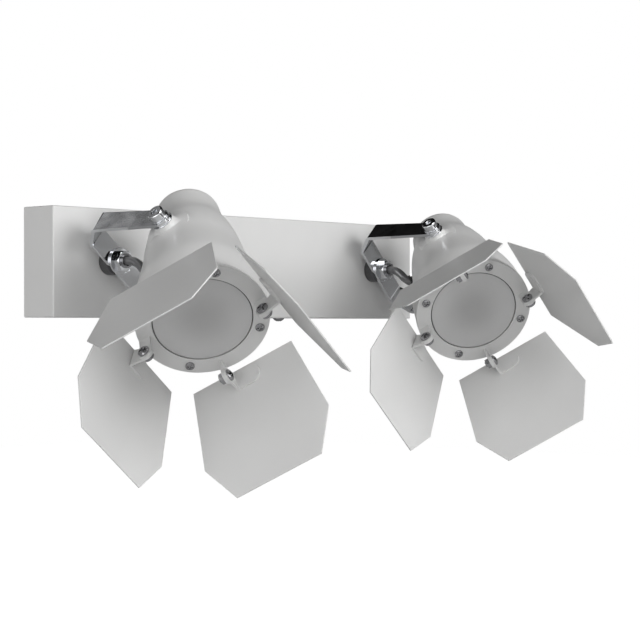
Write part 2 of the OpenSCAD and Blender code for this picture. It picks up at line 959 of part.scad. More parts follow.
module door(k, i) {
    z1 = door_l1 - door_tail;
    z2 = z1 + door_l2;
    color(paint)
        on_door(k, i)
            translate([door_off, 0, 0])
                rotate([90, 0, 90])
                    linear_extrude(door_t)
                        polygon([[-door_w0 / 2, -door_tail], [door_w0 / 2, -door_tail], [door_w1 / 2, z1],
                            [door_w2 / 2, z2], [-door_w2 / 2, z2], [-door_w1 / 2, z1]]);
}

// Hinge leaf: an eye beside the ear, folded to a round-ended leg that is welded to the door

module leaf(k, i) {
    start = hinge_plane + run_fit;
    color(paint)
        on_door(k, i)
            difference() {
                union() {
                    translate([0, start + leaf_t, 0])
                        rotate([90, 0, 0])
                            linear_extrude(leaf_t) {
                                polygon([[0, -ear_r], [door_off, -leaf_half], [door_off, leaf_half], [0, ear_r]]);
                                circle(r = ear_r);
                            }
                    translate([door_off - leaf_t, 0, 0])
                        rotate([90, 0, 90])
                            linear_extrude(leaf_t) {
                                translate([start, -leaf_half])
                                    square([leaf_end - leaf_half - start, 2 * leaf_half]);
                                translate([leaf_end - leaf_half, 0])
                                    circle(r = leaf_half);
                            }
                }
                hinge_hole();
                translate([0, 0, -leaf_half - cut])
                    linear_extrude(2 * leaf_half + 2 * cut)
                        fold_waste([door_off, start], -45, leaf_fold_r, 90);
            }
}

cover();
back_plate();
cover_screws();
terminal_block();
earth_terminal();
cable_grommet();
leads();
spacers();
stems();
stem_nuts();
stem_washers();
yoke(LEFT);  // left_yoke
pivot_screws(LEFT);  // left_pivot_screws
pivot_washers(LEFT);  // left_pivot_washers
bell(LEFT);  // left_bell
bell_grommet(LEFT);  // left_bell_grommet
cable(LEFT);  // left_cable
lamp_holder(LEFT);  // left_lamp_holder
bulb(LEFT);  // left_bulb
reflector(LEFT);  // left_reflector
lens(LEFT);  // left_lens
gasket(LEFT);  // left_gasket
ring(LEFT);  // left_ring
ring_screws(LEFT);  // left_ring_screws
hinge_bolts(LEFT);  // left_hinge_bolts
hinge_nuts(LEFT);  // left_hinge_nuts
door(LEFT, 1);  // left_door_1
door(LEFT, 2);  // left_door_2
door(LEFT, 3);  // left_door_3
door(LEFT, 4);  // left_door_4
leaf(LEFT, 1);  // left_leaf_1
leaf(LEFT, 2);  // left_leaf_2
leaf(LEFT, 3);  // left_leaf_3
leaf(LEFT, 4);  // left_leaf_4
yoke(RIGHT);  // right_yoke
pivot_screws(RIGHT);  // right_pivot_screws
pivot_washers(RIGHT);  // right_pivot_washers
bell(RIGHT);  // right_bell
bell_grommet(RIGHT);  // right_bell_grommet
cable(RIGHT);  // right_cable
lamp_holder(RIGHT);  // right_lamp_holder
bulb(RIGHT);  // right_bulb
reflector(RIGHT);  // right_reflector
lens(RIGHT);  // right_lens
gasket(RIGHT);  // right_gasket
ring(RIGHT);  // right_ring
ring_screws(RIGHT);  // right_ring_screws
hinge_bolts(RIGHT);  // right_hinge_bolts
hinge_nuts(RIGHT);  // right_hinge_nuts
door(RIGHT, 1);  // right_door_1
door(RIGHT, 2);  // right_door_2
door(RIGHT, 3);  // right_door_3
door(RIGHT, 4);  // right_door_4
leaf(RIGHT, 1);  // right_leaf_1
leaf(RIGHT, 2);  // right_leaf_2
leaf(RIGHT, 3);  // right_leaf_3
leaf(RIGHT, 4);  // right_leaf_4
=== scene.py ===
"""Two-head wall spotlight with barn doors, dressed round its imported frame.

All sizes are metres in the frame's axes: +X along the box, +Y into the wall, +Z up.
"""
import json
import math
import bmesh
import bpy
import numpy as np
from bpy.props import FloatProperty, FloatVectorProperty, PointerProperty
from mathutils import Matrix


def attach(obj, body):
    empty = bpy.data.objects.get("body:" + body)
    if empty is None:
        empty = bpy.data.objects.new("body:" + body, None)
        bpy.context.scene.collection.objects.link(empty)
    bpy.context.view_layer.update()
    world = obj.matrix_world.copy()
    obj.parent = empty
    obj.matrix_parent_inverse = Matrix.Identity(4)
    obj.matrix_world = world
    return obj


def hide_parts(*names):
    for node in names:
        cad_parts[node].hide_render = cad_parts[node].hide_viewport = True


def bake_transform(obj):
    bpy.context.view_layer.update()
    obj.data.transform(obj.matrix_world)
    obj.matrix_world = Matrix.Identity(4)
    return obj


bl_info = {
    "name": "Wall spotlight",
    "version": (1, 0, 0),
    "blender": (4, 5, 0),
    "location": "3D View > Sidebar > Spotlight",
    "description": "Dresses a two-head wall spotlight with barn doors",
    "category": "Object",
}

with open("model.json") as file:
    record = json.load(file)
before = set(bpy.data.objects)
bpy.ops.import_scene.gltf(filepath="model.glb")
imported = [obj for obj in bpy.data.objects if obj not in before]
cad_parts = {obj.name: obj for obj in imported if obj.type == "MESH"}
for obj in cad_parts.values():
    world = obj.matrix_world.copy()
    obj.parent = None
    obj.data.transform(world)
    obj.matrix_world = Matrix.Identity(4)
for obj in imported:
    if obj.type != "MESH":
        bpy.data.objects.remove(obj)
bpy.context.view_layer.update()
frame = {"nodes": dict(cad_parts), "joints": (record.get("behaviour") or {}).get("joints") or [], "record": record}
JOINTS = {joint["name"]: joint for joint in frame["joints"]}
SLOT_OF = {part["node"]: part["material_slot"] for part in frame["record"]["subparts"]}
BODY_OF = {node: body for body, nodes in frame["record"]["behaviour"]["bodies"].items() for node in nodes}
SIDES = ("left", "right")
DOORS = (1, 2, 3, 4)
MM = 0.001
# A length that counts as none, and the step that points are rounded to when equal ones are looked for
TINY = 1e-9
SAME_POINT = 1e-7

# Camera of the photograph: bearing, height and roll in degrees, focal length in pixels, aim and distance
CAMERA_BEARING = -49.03
CAMERA_RISE = -0.25
CAMERA_ROLL = -0.15
CAMERA_FOCAL_PX = 1925.2
CAMERA_AIM = (0.07049, -0.0375, -0.0389)
CAMERA_DISTANCE = 1.4775
CAMERA_CLIP = (0.05, 50)
PICTURE_PX = 640
SENSOR = 36.0

# The bell's outline from its rear end to the flange, as shares of its length and of the flange's radius;
# steps per span of it and steps round
BELL_SHARES = (
    (0.0, 0.33), (0.006, 0.42), (0.022, 0.48), (0.048, 0.51), (0.086, 0.522), (0.155, 0.55), (0.224, 0.596),
    (0.293, 0.66), (0.38, 0.721), (0.466, 0.765), (0.552, 0.8), (0.638, 0.846), (0.725, 0.9), (0.811, 0.95),
    (0.897, 0.975), (1.0, 0.985))
BELL_STEPS = 6
BELL_TURNS = 128
# The bell's places along the lamp axis from the pivot, its wall, and the seat of the lens
BELL_BACK = 54 * MM
FLANGE_FRONT = 63.9 * MM
FLANGE_THICK = 2 * MM
FLANGE_R = 43 * MM
BELL_WALL = 1.6 * MM
SEAT_R = 34.35 * MM
SEAT_DEEP = 3.4 * MM
# Rounding of the flange's two corners and of the seat's mouth
FLANGE_ROUNDS = (0.3 * MM, 0.5 * MM, 0.2 * MM)

# The pivot bosses: radius, inner and outer end along the tilt axis, the flare BOSS_FLARE wide at BOSS_FOOT
# that fades out over BOSS_FADE and never grows past BOSS_WIDEST times its width, and the rounded outer edge
BOSS_R = 7.5 * MM
BOSS_IN = 24 * MM
BOSS_OUT = 37 * MM
BOSS_FLARE = 3.2 * MM
BOSS_FOOT = 31.6 * MM
BOSS_FADE = 1.1 * MM
BOSS_WIDEST = 2.5
BOSS_EDGE = 0.4 * MM
BOSS_EDGE_MID = (0.15 * MM, 0.1 * MM)
BOSS_RINGS = 24
BOSS_TURNS = 64

# The lens: radius of its face and foot, their places along the lamp axis, the clearance of its step, and the
# rounding of its corners from the foot to the face
LENS_R = 31.8 * MM
LENS_FOOT_R = 34.3 * MM
LENS_BACK = 61.9 * MM
LENS_STEP = 63.9 * MM
LENS_FACE = 66.1 * MM
LENS_CLEAR = 0.02 * MM
LENS_ROUNDS = (0.2 * MM, 0.2 * MM, 0.1 * MM, 0.5 * MM)
LENS_RINGS = 9
LENS_TURNS = 160
# Painted shade on the lens's colour: darker in the gap inside the ring, and a little darker in the middle for the
# bulb behind it; where each change begins and ends, in shares of the foot's radius, and what the colour is
# multiplied by
RIM_SHARE = "rim_share"
LENS_GAP_SHARES = (0.912, 0.928)
LENS_GAP_PAINTED_SHADE = 0.15
LENS_MIDDLE_SHARES = (0.1, 0.75)
LENS_MIDDLE_PAINTED_SHADE = 0.8
LENS_IOR = 1.5

# The box's face that the stems stand on, and the lamp cables' routes from there in each yoke's own plane, in
# mm: sideways, out
STEM_FACE_Y = -0.030
ROUTES = {
    "left": ((0, -9), (0, -3), (0, 4), (0, 10), (0, 16), (0, 20), (-0.44, 23.97), (-1.57, 27.86),
              (-3.36, 31.71), (-5.63, 35.49), (-8.14, 39.23), (-10.46, 42.97), (-12.17, 46.72),
              (-13.14, 50.5), (-12.93, 54.34), (-11.69, 58.29)),
    "right": ((0, -9), (0, -3), (0, 4), (0, 10), (0, 16), (-0.3, 20), (-1.13, 23.96), (-2.63, 27.85),
               (-4.88, 31.69), (-7.5, 35.45), (-10.25, 39.18), (-12.6, 42.9), (-14.46, 46.63),
               (-15.47, 50.39), (-15.32, 54.23), (-14.07, 58.17)),
}
# Steps per span of the route and points round the tube
CABLE_STEPS = 5
CABLE_TURNS = 32

# Widths of the broken edges that the panel doesn't give, the angles past which an edge is broken or sharp,
# and the one within which triangles are one face
COVER_EDGE = 0.15 * MM
PLATE_EDGE = 0.2 * MM
BLOCK_EDGE = 0.6 * MM
RUBBER_EDGE = 0.4 * MM
WIRE_EDGE = 0.1 * MM
SPACER_EDGE = 0.5 * MM
PIVOT_EDGE = 0.35 * MM
INNER_EDGE = 0.1 * MM
RING_SCREW_EDGE = 0.12 * MM
BOLT_EDGE = 0.15 * MM
BROKEN_FROM = 30.0
CREASE = 35.0
TURNED_CREASE = 40.0
CABLE_CREASE = 60.0
FLAT = 0.3

# The lamps: the panel's name for the power, the direction from STAGE_CENTRE in shares of the photograph's
# right, back (towards the camera) and up, the distance and the side length in metres
STAGE_CENTRE = (0.0, -0.1, 0.0)
LAMPS = (
    ("key", (0.8, 0.5, 0.3), 1.5, 0.8),
    ("ahead", (0.1, 1.0, 0.1), 1.6, 1.2),
    ("fill", (-0.6, 0.8, 0.05), 1.6, 1.2),
    ("top", (0.2, 0.5, 0.84), 1.5, 0.8),
)
FLOOR_HALF = 6.0
FLOOR_GREY = 0.7

# Where the room's light changes, from and to, in shares of right, back (towards the camera) or up in a ray's
# direction
FRONT_BACK = (-0.14, -0.06)
FRONT_UP = (0.1, 0.6)
FRONT_DOWN = (-0.6, -0.1)
GLOW_RIGHT = (-0.6, -0.57)
GLOW_BACK = (-0.1, 0.1)
GLOW_UP = (0.5, 0.65)
# Share of the glow that is left outside its edge at the right
GLOW_REST = 0.04
# Streaks in the glow, for the chrome to mirror: the noise's scale, its low and high, and what they become
STREAK_SCALE = 150.0
STREAK_NOISE = (0.4, 0.6)
STREAK_STRENGTH = (0.15, 1.5)

# The speckle's range of noise that makes its value run from low to high, and the strength of its bump
SPECKLE_NOISE = (0.3, 0.7)
SPECKLE_BUMP = 0.6
# The scuffs' stretch and turn (radians), the noise where a line begins and is full, and what a full line adds
# to the roughness
SCUFF_STRETCH = (1.0, 1.0, 14.0)
SCUFF_TURN = (0.4, 0.5, 0.2)
SCUFF_NOISE = (0.56, 0.72)
SCUFF_ROUGHNESS = 0.25
# Scale of the noise of the slow waves
WAVE_SCALE = 55


# ---- numpy surfaces


def unit(vector):
    """The vector at length one."""
    v = np.asarray(vector, float)
    return v / np.linalg.norm(v)


def curve_through(points, steps):
    """A smooth curve through the points: Catmull-Rom, the cubic whose slope at each point is half the
    step between its two neighbours. Returns steps points per span and the last one."""
    p = np.asarray(points, float)
    q = np.vstack([2 * p[0] - p[1], p, 2 * p[-1] - p[-2]])
    t = np.linspace(0, 1, steps, endpoint=False)[None, :, None]
    a, b, c, d = (q[k:len(q) - 3 + k][:, None, :] for k in range(4))
    square, cube = 2 * a - 5 * b + 4 * c - d, 3 * b - a - 3 * c + d
    spans = 0.5 * (2 * b + (c - a) * t + square * t ** 2 + cube * t ** 3)
    return np.vstack([spans.reshape(-1, p.shape[1]), p[-1]])


def rounded(profile, radii, steps=4):
    """A profile whose corners are arcs: corner i is replaced by a quadratic curve between the points
    that lie radii[i] before and after it, and stays sharp where radii has no more values."""
    p = np.asarray(profile, float)
    radii = [*radii, *[0] * (len(p) - 2 - len(radii))]
    out = [p[:1]]
    t = np.linspace(0, 1, steps + 1)[:, None]
    for before, corner, after, r in zip(p[:-2], p[1:-1], p[2:], radii):
        if r <= 0:
            out.append(corner[None])
            continue
        a = corner + (before - corner) * min(0.5, r / max(np.linalg.norm(before - corner), TINY))
        b = corner + (after - corner) * min(0.5, r / max(np.linalg.norm(after - corner), TINY))
        out.append((1 - t) ** 2 * a + 2 * t * (1 - t) * corner + t ** 2 * b)
    out.append(p[-1:])
    return np.vstack(out)


def grid_faces(rows, columns):
    """Quads of a grid of points stored row by row, whose last column meets the first."""
    i = np.arange(rows - 1)[:, None]
    j = np.arange(columns)[None, :]
    i2, j2 = i + 1, (j + 1) % columns
    quads = np.stack([i * columns + j, i * columns + j2, i2 * columns + j2, i2 * columns + j], -1)
    return quads.reshape(-1, 4)


def revolve(profile, origin, axis, across, turns):
    """Turns a profile of (radius, place along the axis) round the axis. Point (i, j) lies at
    origin + z_i axis + r_i (cos t_j across + sin t_j axis x across). A first or last point with radius
    zero becomes a pole; the faces point away from the axis where the profile climbs."""
    p = np.asarray(profile, float)
    t = np.linspace(0, 2 * math.pi, turns, endpoint=False)
    axis, across = np.asarray(axis, float), np.asarray(across, float)
    other = np.cross(axis, across)
    ring = np.cos(t)[:, None] * across + np.sin(t)[:, None] * other
    poles = [k for k in (0, len(p) - 1) if p[k, 0] < TINY]
    body = np.delete(p, poles, axis=0)
    verts = np.asarray(origin) + body[:, 1][:, None, None] * axis + body[:, 0][:, None, None] * ring[None]
    verts = verts.reshape(-1, 3)
    faces = [tuple(f) for f in grid_faces(len(body), turns).tolist()]
    j = np.arange(turns)
    for k in poles:
        centre = len(verts)
        verts = np.vstack([verts, np.asarray(origin) + p[k, 1] * axis])
        row = 0 if k == 0 else (len(body) - 1) * turns
        a, b = row + j, row + (j + 1) % turns
        fan = np.stack([np.full(turns, centre), b, a] if k == 0 else [np.full(turns, centre), a, b], -1)
        faces += [tuple(f) for f in fan.tolist()]
    return verts, faces


def join(parts):
    """Several (points, faces) pairs as one."""
    verts, faces, start = [], [], 0
    for v, f in parts:
        verts.append(v)
        faces += [tuple(k + start for k in face) for face in f]
        start += len(v)
    return np.vstack(verts), faces


def tube(path, side, radius, turns):
    """A round tube along a flat path: ring i lies in the plane of side and of the path's heading x side.
    Both ends are closed with a point."""
    p = np.asarray(path, float)
    way = np.gradient(p, axis=0)
    way /= np.linalg.norm(way, axis=1)[:, None]
    side = np.asarray(side, float)
    up = np.cross(way, side)
    t = np.linspace(0, 2 * math.pi, turns, endpoint=False)
    verts = p[:, None] + radius * (np.cos(t)[None, :, None] * side + np.sin(t)[None, :, None] * up[:, None])
    verts = np.vstack([verts.reshape(-1, 3), p[0], p[-1]])
    faces = [tuple(f[::-1]) for f in grid_faces(len(p), turns).tolist()]
    j = np.arange(turns)
    first, last = len(p) * turns, len(p) * turns + 1
    end = (len(p) - 1) * turns
    faces += [tuple(f) for f in np.stack([np.full(turns, first), j, (j + 1) % turns], -1).tolist()]
    faces += [tuple(f) for f in np.stack([np.full(turns, last), end + (j + 1) % turns, end + j], -1).tolist()]
    return verts, faces


def merged(node):
    """A CAD node's loose triangles as one mesh: points that round to the same step of SAME_POINT become one,
    and triangles without a surface are left out."""
    mesh = frame["nodes"][node].data
    co = np.empty(len(mesh.vertices) * 3)
    mesh.vertices.foreach_get("co", co)
    mesh.calc_loop_triangles()
    tri = np.empty(len(mesh.loop_triangles) * 3, int)
    mesh.loop_triangles.foreach_get("vertices", tri)
    keys = np.round(co.reshape(-1, 3) / SAME_POINT).astype(np.int64)
    _, first, back = np.unique(keys, axis=0, return_index=True, return_inverse=True)
    tri = back.reshape(-1)[tri].reshape(-1, 3)
    keep = (tri[:, 0] != tri[:, 1]) & (tri[:, 1] != tri[:, 2]) & (tri[:, 0] != tri[:, 2])
    return co.reshape(-1, 3)[first], tri[keep].tolist()


def make_piece(name, verts, faces, crease=CREASE, flat=0.0):
    """A mesh object at the origin, smooth except at edges sharper than crease degrees. Triangles that
    lie within flat degrees of each other are joined to larger faces."""
    mesh = bpy.data.meshes.new(name)
    mesh.from_pydata(np.asarray(verts).tolist(), [], faces)
    work = bmesh.new()
    work.from_mesh(mesh)
    if flat > 0:
        bmesh.ops.dissolve_limit(work, angle_limit=math.radians(flat), verts=work.verts, edges=work.edges)
    for face in work.faces:
        face.smooth = True
    for edge in work.edges:
        edge.smooth = edge.is_manifold and edge.calc_face_angle(0.0) < math.radians(crease)
    work.to_mesh(mesh)
    work.free()
    piece = bpy.data.objects.new(name, mesh)
    bpy.context.scene.collection.objects.link(piece)
    return piece


def dress(piece, node, body=None):
    """The piece stands for the node and takes its finish; it rides on the body, where one is given."""
    slot = SLOT_OF[node]
    piece.data.materials.append(finish(slot))
    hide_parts(node)
    if body is not None:
        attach(piece, body)


def eased(node, width, segments=2, flat=FLAT):
    """A CAD node with its edges broken: the merged mesh with a bevel of that width."""
    piece = make_piece(node + "_eased", *merged(node), flat=flat)
    bevel = piece.modifiers.new("edges", "BEVEL")
    bevel.limit_method = "ANGLE"
    bevel.angle_limit = math.radians(BROKEN_FROM)
    bevel.width = width
    bevel.segments = segments
    bevel.harden_normals = True
    dress(piece, node, body=BODY_OF[node])


# ---- finishes


def group_of(name, inputs, outputs, build):
    """A shader node group made once: inputs are (name, kind, default), outputs are (name, kind)."""
    group = bpy.data.node_groups.get(name)
    if group:
        return group
    group = bpy.data.node_groups.new(name, "ShaderNodeTree")
    for label, kind, value in inputs:
        socket = group.interface.new_socket(label, in_out="INPUT", socket_type="NodeSocket" + kind)
        if value is not None:
            socket.default_value = value
    for label, kind in outputs:
        group.interface.new_socket(label, in_out="OUTPUT", socket_type="NodeSocket" + kind)
    build(group, group.nodes.new("NodeGroupInput"), group.nodes.new("NodeGroupOutput"))
    return group


def build_speckle(group, inlet, outlet):
    """Two noises of several octaves: a fine one for the skin's height, and a broad one that moves a value
    from Low to High."""
    fine = group.nodes.new("ShaderNodeTexNoise")
    fine.inputs["Detail"].default_value = 3
    broad = group.nodes.new("ShaderNodeTexNoise")
    broad.inputs["Detail"].default_value = 4
    spread = group.nodes.new("ShaderNodeMapRange")
    spread.inputs["From Min"].default_value = SPECKLE_NOISE[0]
    spread.inputs["From Max"].default_value = SPECKLE_NOISE[1]
    link = group.links.new
    for node, scale in ((fine, "Fine Scale"), (broad, "Broad Scale")):
        link(inlet.outputs["Vector"], node.inputs["Vector"])
        link(inlet.outputs[scale], node.inputs["Scale"])
    link(broad.outputs["Fac"], spread.inputs["Value"])
    link(inlet.outputs["Low"], spread.inputs["To Min"])
    link(inlet.outputs["High"], spread.inputs["To Max"])
    link(spread.outputs["Result"], outlet.inputs["Value"])
    link(broad.outputs["Fac"], outlet.inputs["Mask"])
    link(fine.outputs["Fac"], outlet.inputs["Height"])


def speckle():
    """The node group of every finish's grain."""
    return group_of(
        "speckle",
        [("Vector", "Vector", None), ("Fine Scale", "Float", 900.0), ("Broad Scale", "Float", 40.0),
         ("Low", "Float", 0.3), ("High", "Float", 0.4)],
        [("Value", "Float"), ("Mask", "Float"), ("Height", "Float")],
        build_speckle)


def build_scuffs(group, inlet, outlet):
    """Fine rubbed lines: noise stretched along one axis, cut to the brightest streaks."""
    turn = group.nodes.new("ShaderNodeMapping")
    turn.inputs["Scale"].default_value = SCUFF_STRETCH
    turn.inputs["Rotation"].default_value = SCUFF_TURN
    lines = group.nodes.new("ShaderNodeTexNoise")
    lines.inputs["Detail"].default_value = 5
    cut = group.nodes.new("ShaderNodeMapRange")
    cut.inputs["From Min"].default_value = SCUFF_NOISE[0]
    cut.inputs["From Max"].default_value = SCUFF_NOISE[1]
    scaled = group.nodes.new("ShaderNodeMath")
    scaled.operation = "MULTIPLY"
    link = group.links.new
    link(inlet.outputs["Vector"], turn.inputs["Vector"])
    link(turn.outputs["Vector"], lines.inputs["Vector"])
    link(inlet.outputs["Scale"], lines.inputs["Scale"])
    link(lines.outputs["Fac"], cut.inputs["Value"])
    link(cut.outputs["Result"], scaled.inputs[0])
    link(inlet.outputs["Strength"], scaled.inputs[1])
    link(scaled.outputs["Value"], outlet.inputs["Mask"])


def scuffs():
    """The node group of the metals' rubbed lines."""
    return group_of(
        "scuffs",
        [("Vector", "Vector", None), ("Scale", "Float", 60.0), ("Strength", "Float", 0.3)],
        [("Mask", "Float")],
        build_scuffs)


def ramp(tree, value, first, last, near, far):
    """A smooth step of value: near below first, far above last."""
    share = tree.nodes.new("ShaderNodeMapRange")
    share.interpolation_type = "SMOOTHSTEP"
    share.inputs["From Min"].default_value = first
    share.inputs["From Max"].default_value = last
    share.inputs["To Min"].default_value = near
    share.inputs["To Max"].default_value = far
    tree.links.new(value, share.inputs["Value"])
    return share.outputs["Result"]


def combine(tree, operation, first, *others):
    """All the values put together by one math operation."""
    for other in others:
        node = tree.nodes.new("ShaderNodeMath")
        node.operation = operation
        tree.links.new(first, node.inputs[0])
        tree.links.new(other, node.inputs[1])
        first = node.outputs["Value"]
    return first


# Each finish: its colour or the panel's name for one, roughness low and high, scales of the fine and the
# broad noise, height of the fine one in mm, and how far the broad one spreads the colour. What a row leaves
# out it takes from PLAIN: metallic, scuffs, clear coat, and the height in mm of slow waves
PLAIN = dict(metallic=0.0, scuff=0.0, coat=0.0, wave=0.0)
FINISHES = {
    "white_paint": dict(color="paint", rough=(0.34, 0.42), fine=1500, broad=30, height=0.012, spread=0.03),
    "zinc_steel": dict(color=(0.5, 0.51, 0.52), rough=(0.34, 0.5), fine=700, broad=120, height=0.01,
                       spread=0.12, metallic=1.0, scuff=0.3),
    "screw_steel": dict(color=(0.36, 0.36, 0.37), rough=(0.14, 0.24), fine=2200, broad=300, height=0.004,
                        spread=0.12, metallic=1.0, scuff=0.4),
    "chrome": dict(color="chrome", rough=(0.04, 0.08), fine=1800, broad=60, height=0.0008, spread=0.05,
                   metallic=1.0, scuff=0.15, wave=0.06),
    "dark_spacer": dict(color=(0.07, 0.07, 0.072), rough=(0.3, 0.42), fine=1500, broad=100, height=0.01,
                        spread=0.15),
    "black_rubber": dict(color=(0.028, 0.028, 0.028), rough=(0.55, 0.7), fine=1600, broad=120, height=0.02,
                         spread=0.2),
    "cable_sheath": dict(color=(0.13, 0.13, 0.133), rough=(0.16, 0.26), fine=900, broad=90, height=0.01,
                         spread=0.1, coat=0.5),
    "ceramic": dict(color=(0.8, 0.79, 0.75), rough=(0.5, 0.62), fine=1300, broad=80, height=0.02,
                    spread=0.04),
    "brass": dict(color=(0.62, 0.46, 0.2), rough=(0.25, 0.4), fine=1800, broad=200, height=0.006, spread=0.1,
                  metallic=1.0, scuff=0.3),
    "reflector_aluminium": dict(color=(0.82, 0.83, 0.84), rough=(0.15, 0.24), fine=1500, broad=90,
                                height=0.006, spread=0.05, metallic=1.0, scuff=0.1),
    "bulb_glass": dict(color=(0.7, 0.71, 0.73), rough=(0.1, 0.16), fine=1500, broad=60, height=0.004,
                       spread=0.04, coat=0.3),
    "frosted_glass": dict(color="lens", rough=(0.42, 0.5), fine=2600, broad=45, height=0.01, spread=0.04),
}


def rubbed(tree, place, row, rough):
    """The roughness with that of the scuffs on top."""
    rub = tree.nodes.new("ShaderNodeGroup")
    rub.node_tree = scuffs()
    rub.inputs["Scale"].default_value = row["broad"]
    rub.inputs["Strength"].default_value = row["scuff"]
    more = tree.nodes.new("ShaderNodeMath")
    more.operation = "MULTIPLY_ADD"
    more.inputs[1].default_value = SCUFF_ROUGHNESS
    link = tree.links.new
    link(place, rub.inputs["Vector"])
    link(rub.outputs["Mask"], more.inputs[0])
    link(rough, more.inputs[2])
    return more.outputs["Value"]


def waved(tree, place, height):
    """The surface's normal with slow waves of that height in mm."""
    roll = tree.nodes.new("ShaderNodeTexNoise")
    roll.inputs["Scale"].default_value = WAVE_SCALE
    roll.inputs["Detail"].default_value = 1
    swell = tree.nodes.new("ShaderNodeBump")
    swell.inputs["Strength"].default_value = 1
    swell.inputs["Distance"].default_value = height * MM
    tree.links.new(place, roll.inputs["Vector"])
    tree.links.new(roll.outputs["Fac"], swell.inputs["Height"])
    return swell.outputs["Normal"]


def pane_painted_shade(tree, color):
    """The lens's colour with painted shade: darker in the gap inside the ring and a little darker in the middle.
    """
    near = tree.nodes.new("ShaderNodeAttribute")
    near.attribute_name = RIM_SHARE
    painted_middle_shade = ramp(tree, near.outputs["Fac"], *LENS_MIDDLE_SHARES, LENS_MIDDLE_PAINTED_SHADE, 1.0)
    painted_gap_shade = ramp(tree, near.outputs["Fac"], *LENS_GAP_SHARES, 1.0, LENS_GAP_PAINTED_SHADE)
    shade = tree.nodes.new("ShaderNodeVectorMath")
    shade.operation = "SCALE"
    tree.links.new(color, shade.inputs[0])
    tree.links.new(combine(tree, "MULTIPLY", painted_middle_shade, painted_gap_shade), shade.inputs["Scale"])
    return shade.outputs["Vector"]


def finish(slot):
    """The procedural material of a slot, made once from its row in FINISHES."""
    name = slot + "_finish"
    material = bpy.data.materials.get(name)
    if material:
        return material
    row = {**PLAIN, **FINISHES[slot]}
    look = bpy.context.scene.spotlight_finish
    base = getattr(look, row["color"]) if isinstance(row["color"], str) else row["color"]
    material = bpy.data.materials.new(name)
    material.use_nodes = True
    tree = material.node_tree
    link = tree.links.new
    skin = tree.nodes["Principled BSDF"]
    place = tree.nodes.new("ShaderNodeTexCoord").outputs["Object"]
    grain = tree.nodes.new("ShaderNodeGroup")
    grain.node_tree = speckle()
    grain.inputs["Fine Scale"].default_value = row["fine"]
    grain.inputs["Broad Scale"].default_value = row["broad"]
    grain.inputs["Low"].default_value = row["rough"][0]
    grain.inputs["High"].default_value = row["rough"][1]
    link(place, grain.inputs["Vector"])
    tint = tree.nodes.new("ShaderNodeMix")
    tint.data_type = "RGBA"
    tint.inputs["A"].default_value = (*[c * (1 - row["spread"]) for c in base], 1)
    tint.inputs["B"].default_value = (*[min(1, c * (1 + row["spread"])) for c in base], 1)
    link(grain.outputs["Mask"], tint.inputs["Factor"])
    color = tint.outputs["Result"]
    rough = grain.outputs["Value"]
    if row["scuff"] > 0:
        rough = rubbed(tree, place, row, rough)
    bump = tree.nodes.new("ShaderNodeBump")
    if row["wave"] > 0:
        link(waved(tree, place, row["wave"]), bump.inputs["Normal"])
    bump.inputs["Strength"].default_value = SPECKLE_BUMP
    bump.inputs["Distance"].default_value = row["height"] * MM
    link(grain.outputs["Height"], bump.inputs["Height"])
    # The lens's colour gets painted shade in the ring's gap and in its middle
    if slot == "frosted_glass":
        color = pane_painted_shade(tree, color)
        skin.inputs["Transmission Weight"].default_value = look.lens_clearness
        skin.inputs["IOR"].default_value = LENS_IOR
    link(color, skin.inputs["Base Color"])
    link(rough, skin.inputs["Roughness"])
    link(bump.outputs["Normal"], skin.inputs["Normal"])
    skin.inputs["Metallic"].default_value = row["metallic"]
    skin.inputs["Coat Weight"].default_value = row["coat"]
    return material


# ---- the lamps' own frames, from the joints


def lamp_frame(side):
    """(pivot, u, n): the pivot, the tilt axis and the lamp axis of one head. The lamp axis is square to two
    neighbouring door hinges."""
    tilt = JOINTS[side + "_tilt"]
    n = np.cross(JOINTS[side + "_door_1_hinge"]["axis"], JOINTS[side + "_door_2_hinge"]["axis"])
    return np.array(tilt["pos_m"], float), unit(tilt["axis"]), unit(n)


# ---- sizes and colours that a user would change


class SpotlightFinish(bpy.types.PropertyGroup):
    """Colours of the finishes that a user would change"""
    paint: FloatVectorProperty(
        name="Paint", description="Colour of the powder coat on box, bells, rings and doors",
        subtype="COLOR", size=3, min=0, max=1, default=(0.71, 0.71, 0.705))
    chrome: FloatVectorProperty(
        name="Chrome", description="Tint of the plated yokes and washers",
        subtype="COLOR", size=3, min=0, max=1, default=(0.8, 0.81, 0.83))
    lens: FloatVectorProperty(
        name="Lens", description="Tint of the frosted glass",
        subtype="COLOR", size=3, min=0, max=1, default=(0.7, 0.7, 0.7))
    lens_clearness: FloatProperty(
        name="Lens clearness", description="How much of the light goes through the glass",
        subtype="FACTOR", min=0, max=1, default=0.15)


class SpotlightSizes(bpy.types.PropertyGroup):
    """Small sizes that the frame doesn't hold"""
    sheet_edge: FloatProperty(
        name="Sheet edge", description="Rounding of the doors', leaves' and rings' edges",
        unit="LENGTH", min=0.00005, max=0.0005, default=0.0003)
    strip_edge: FloatProperty(
        name="Strip edge", description="Rounding of the yokes' edges",
        unit="LENGTH", min=0.0001, max=0.001, default=0.0005)
    screw_edge: FloatProperty(
        name="Screw edge", description="Rounding of the screws', nuts' and washers' edges",
        unit="LENGTH", min=0.00005, max=0.0004, default=0.0002)
    cable: FloatProperty(
        name="Cable", description="Diameter of the lamp cables",
        unit="LENGTH", min=0.005, max=0.0064, default=0.0062)


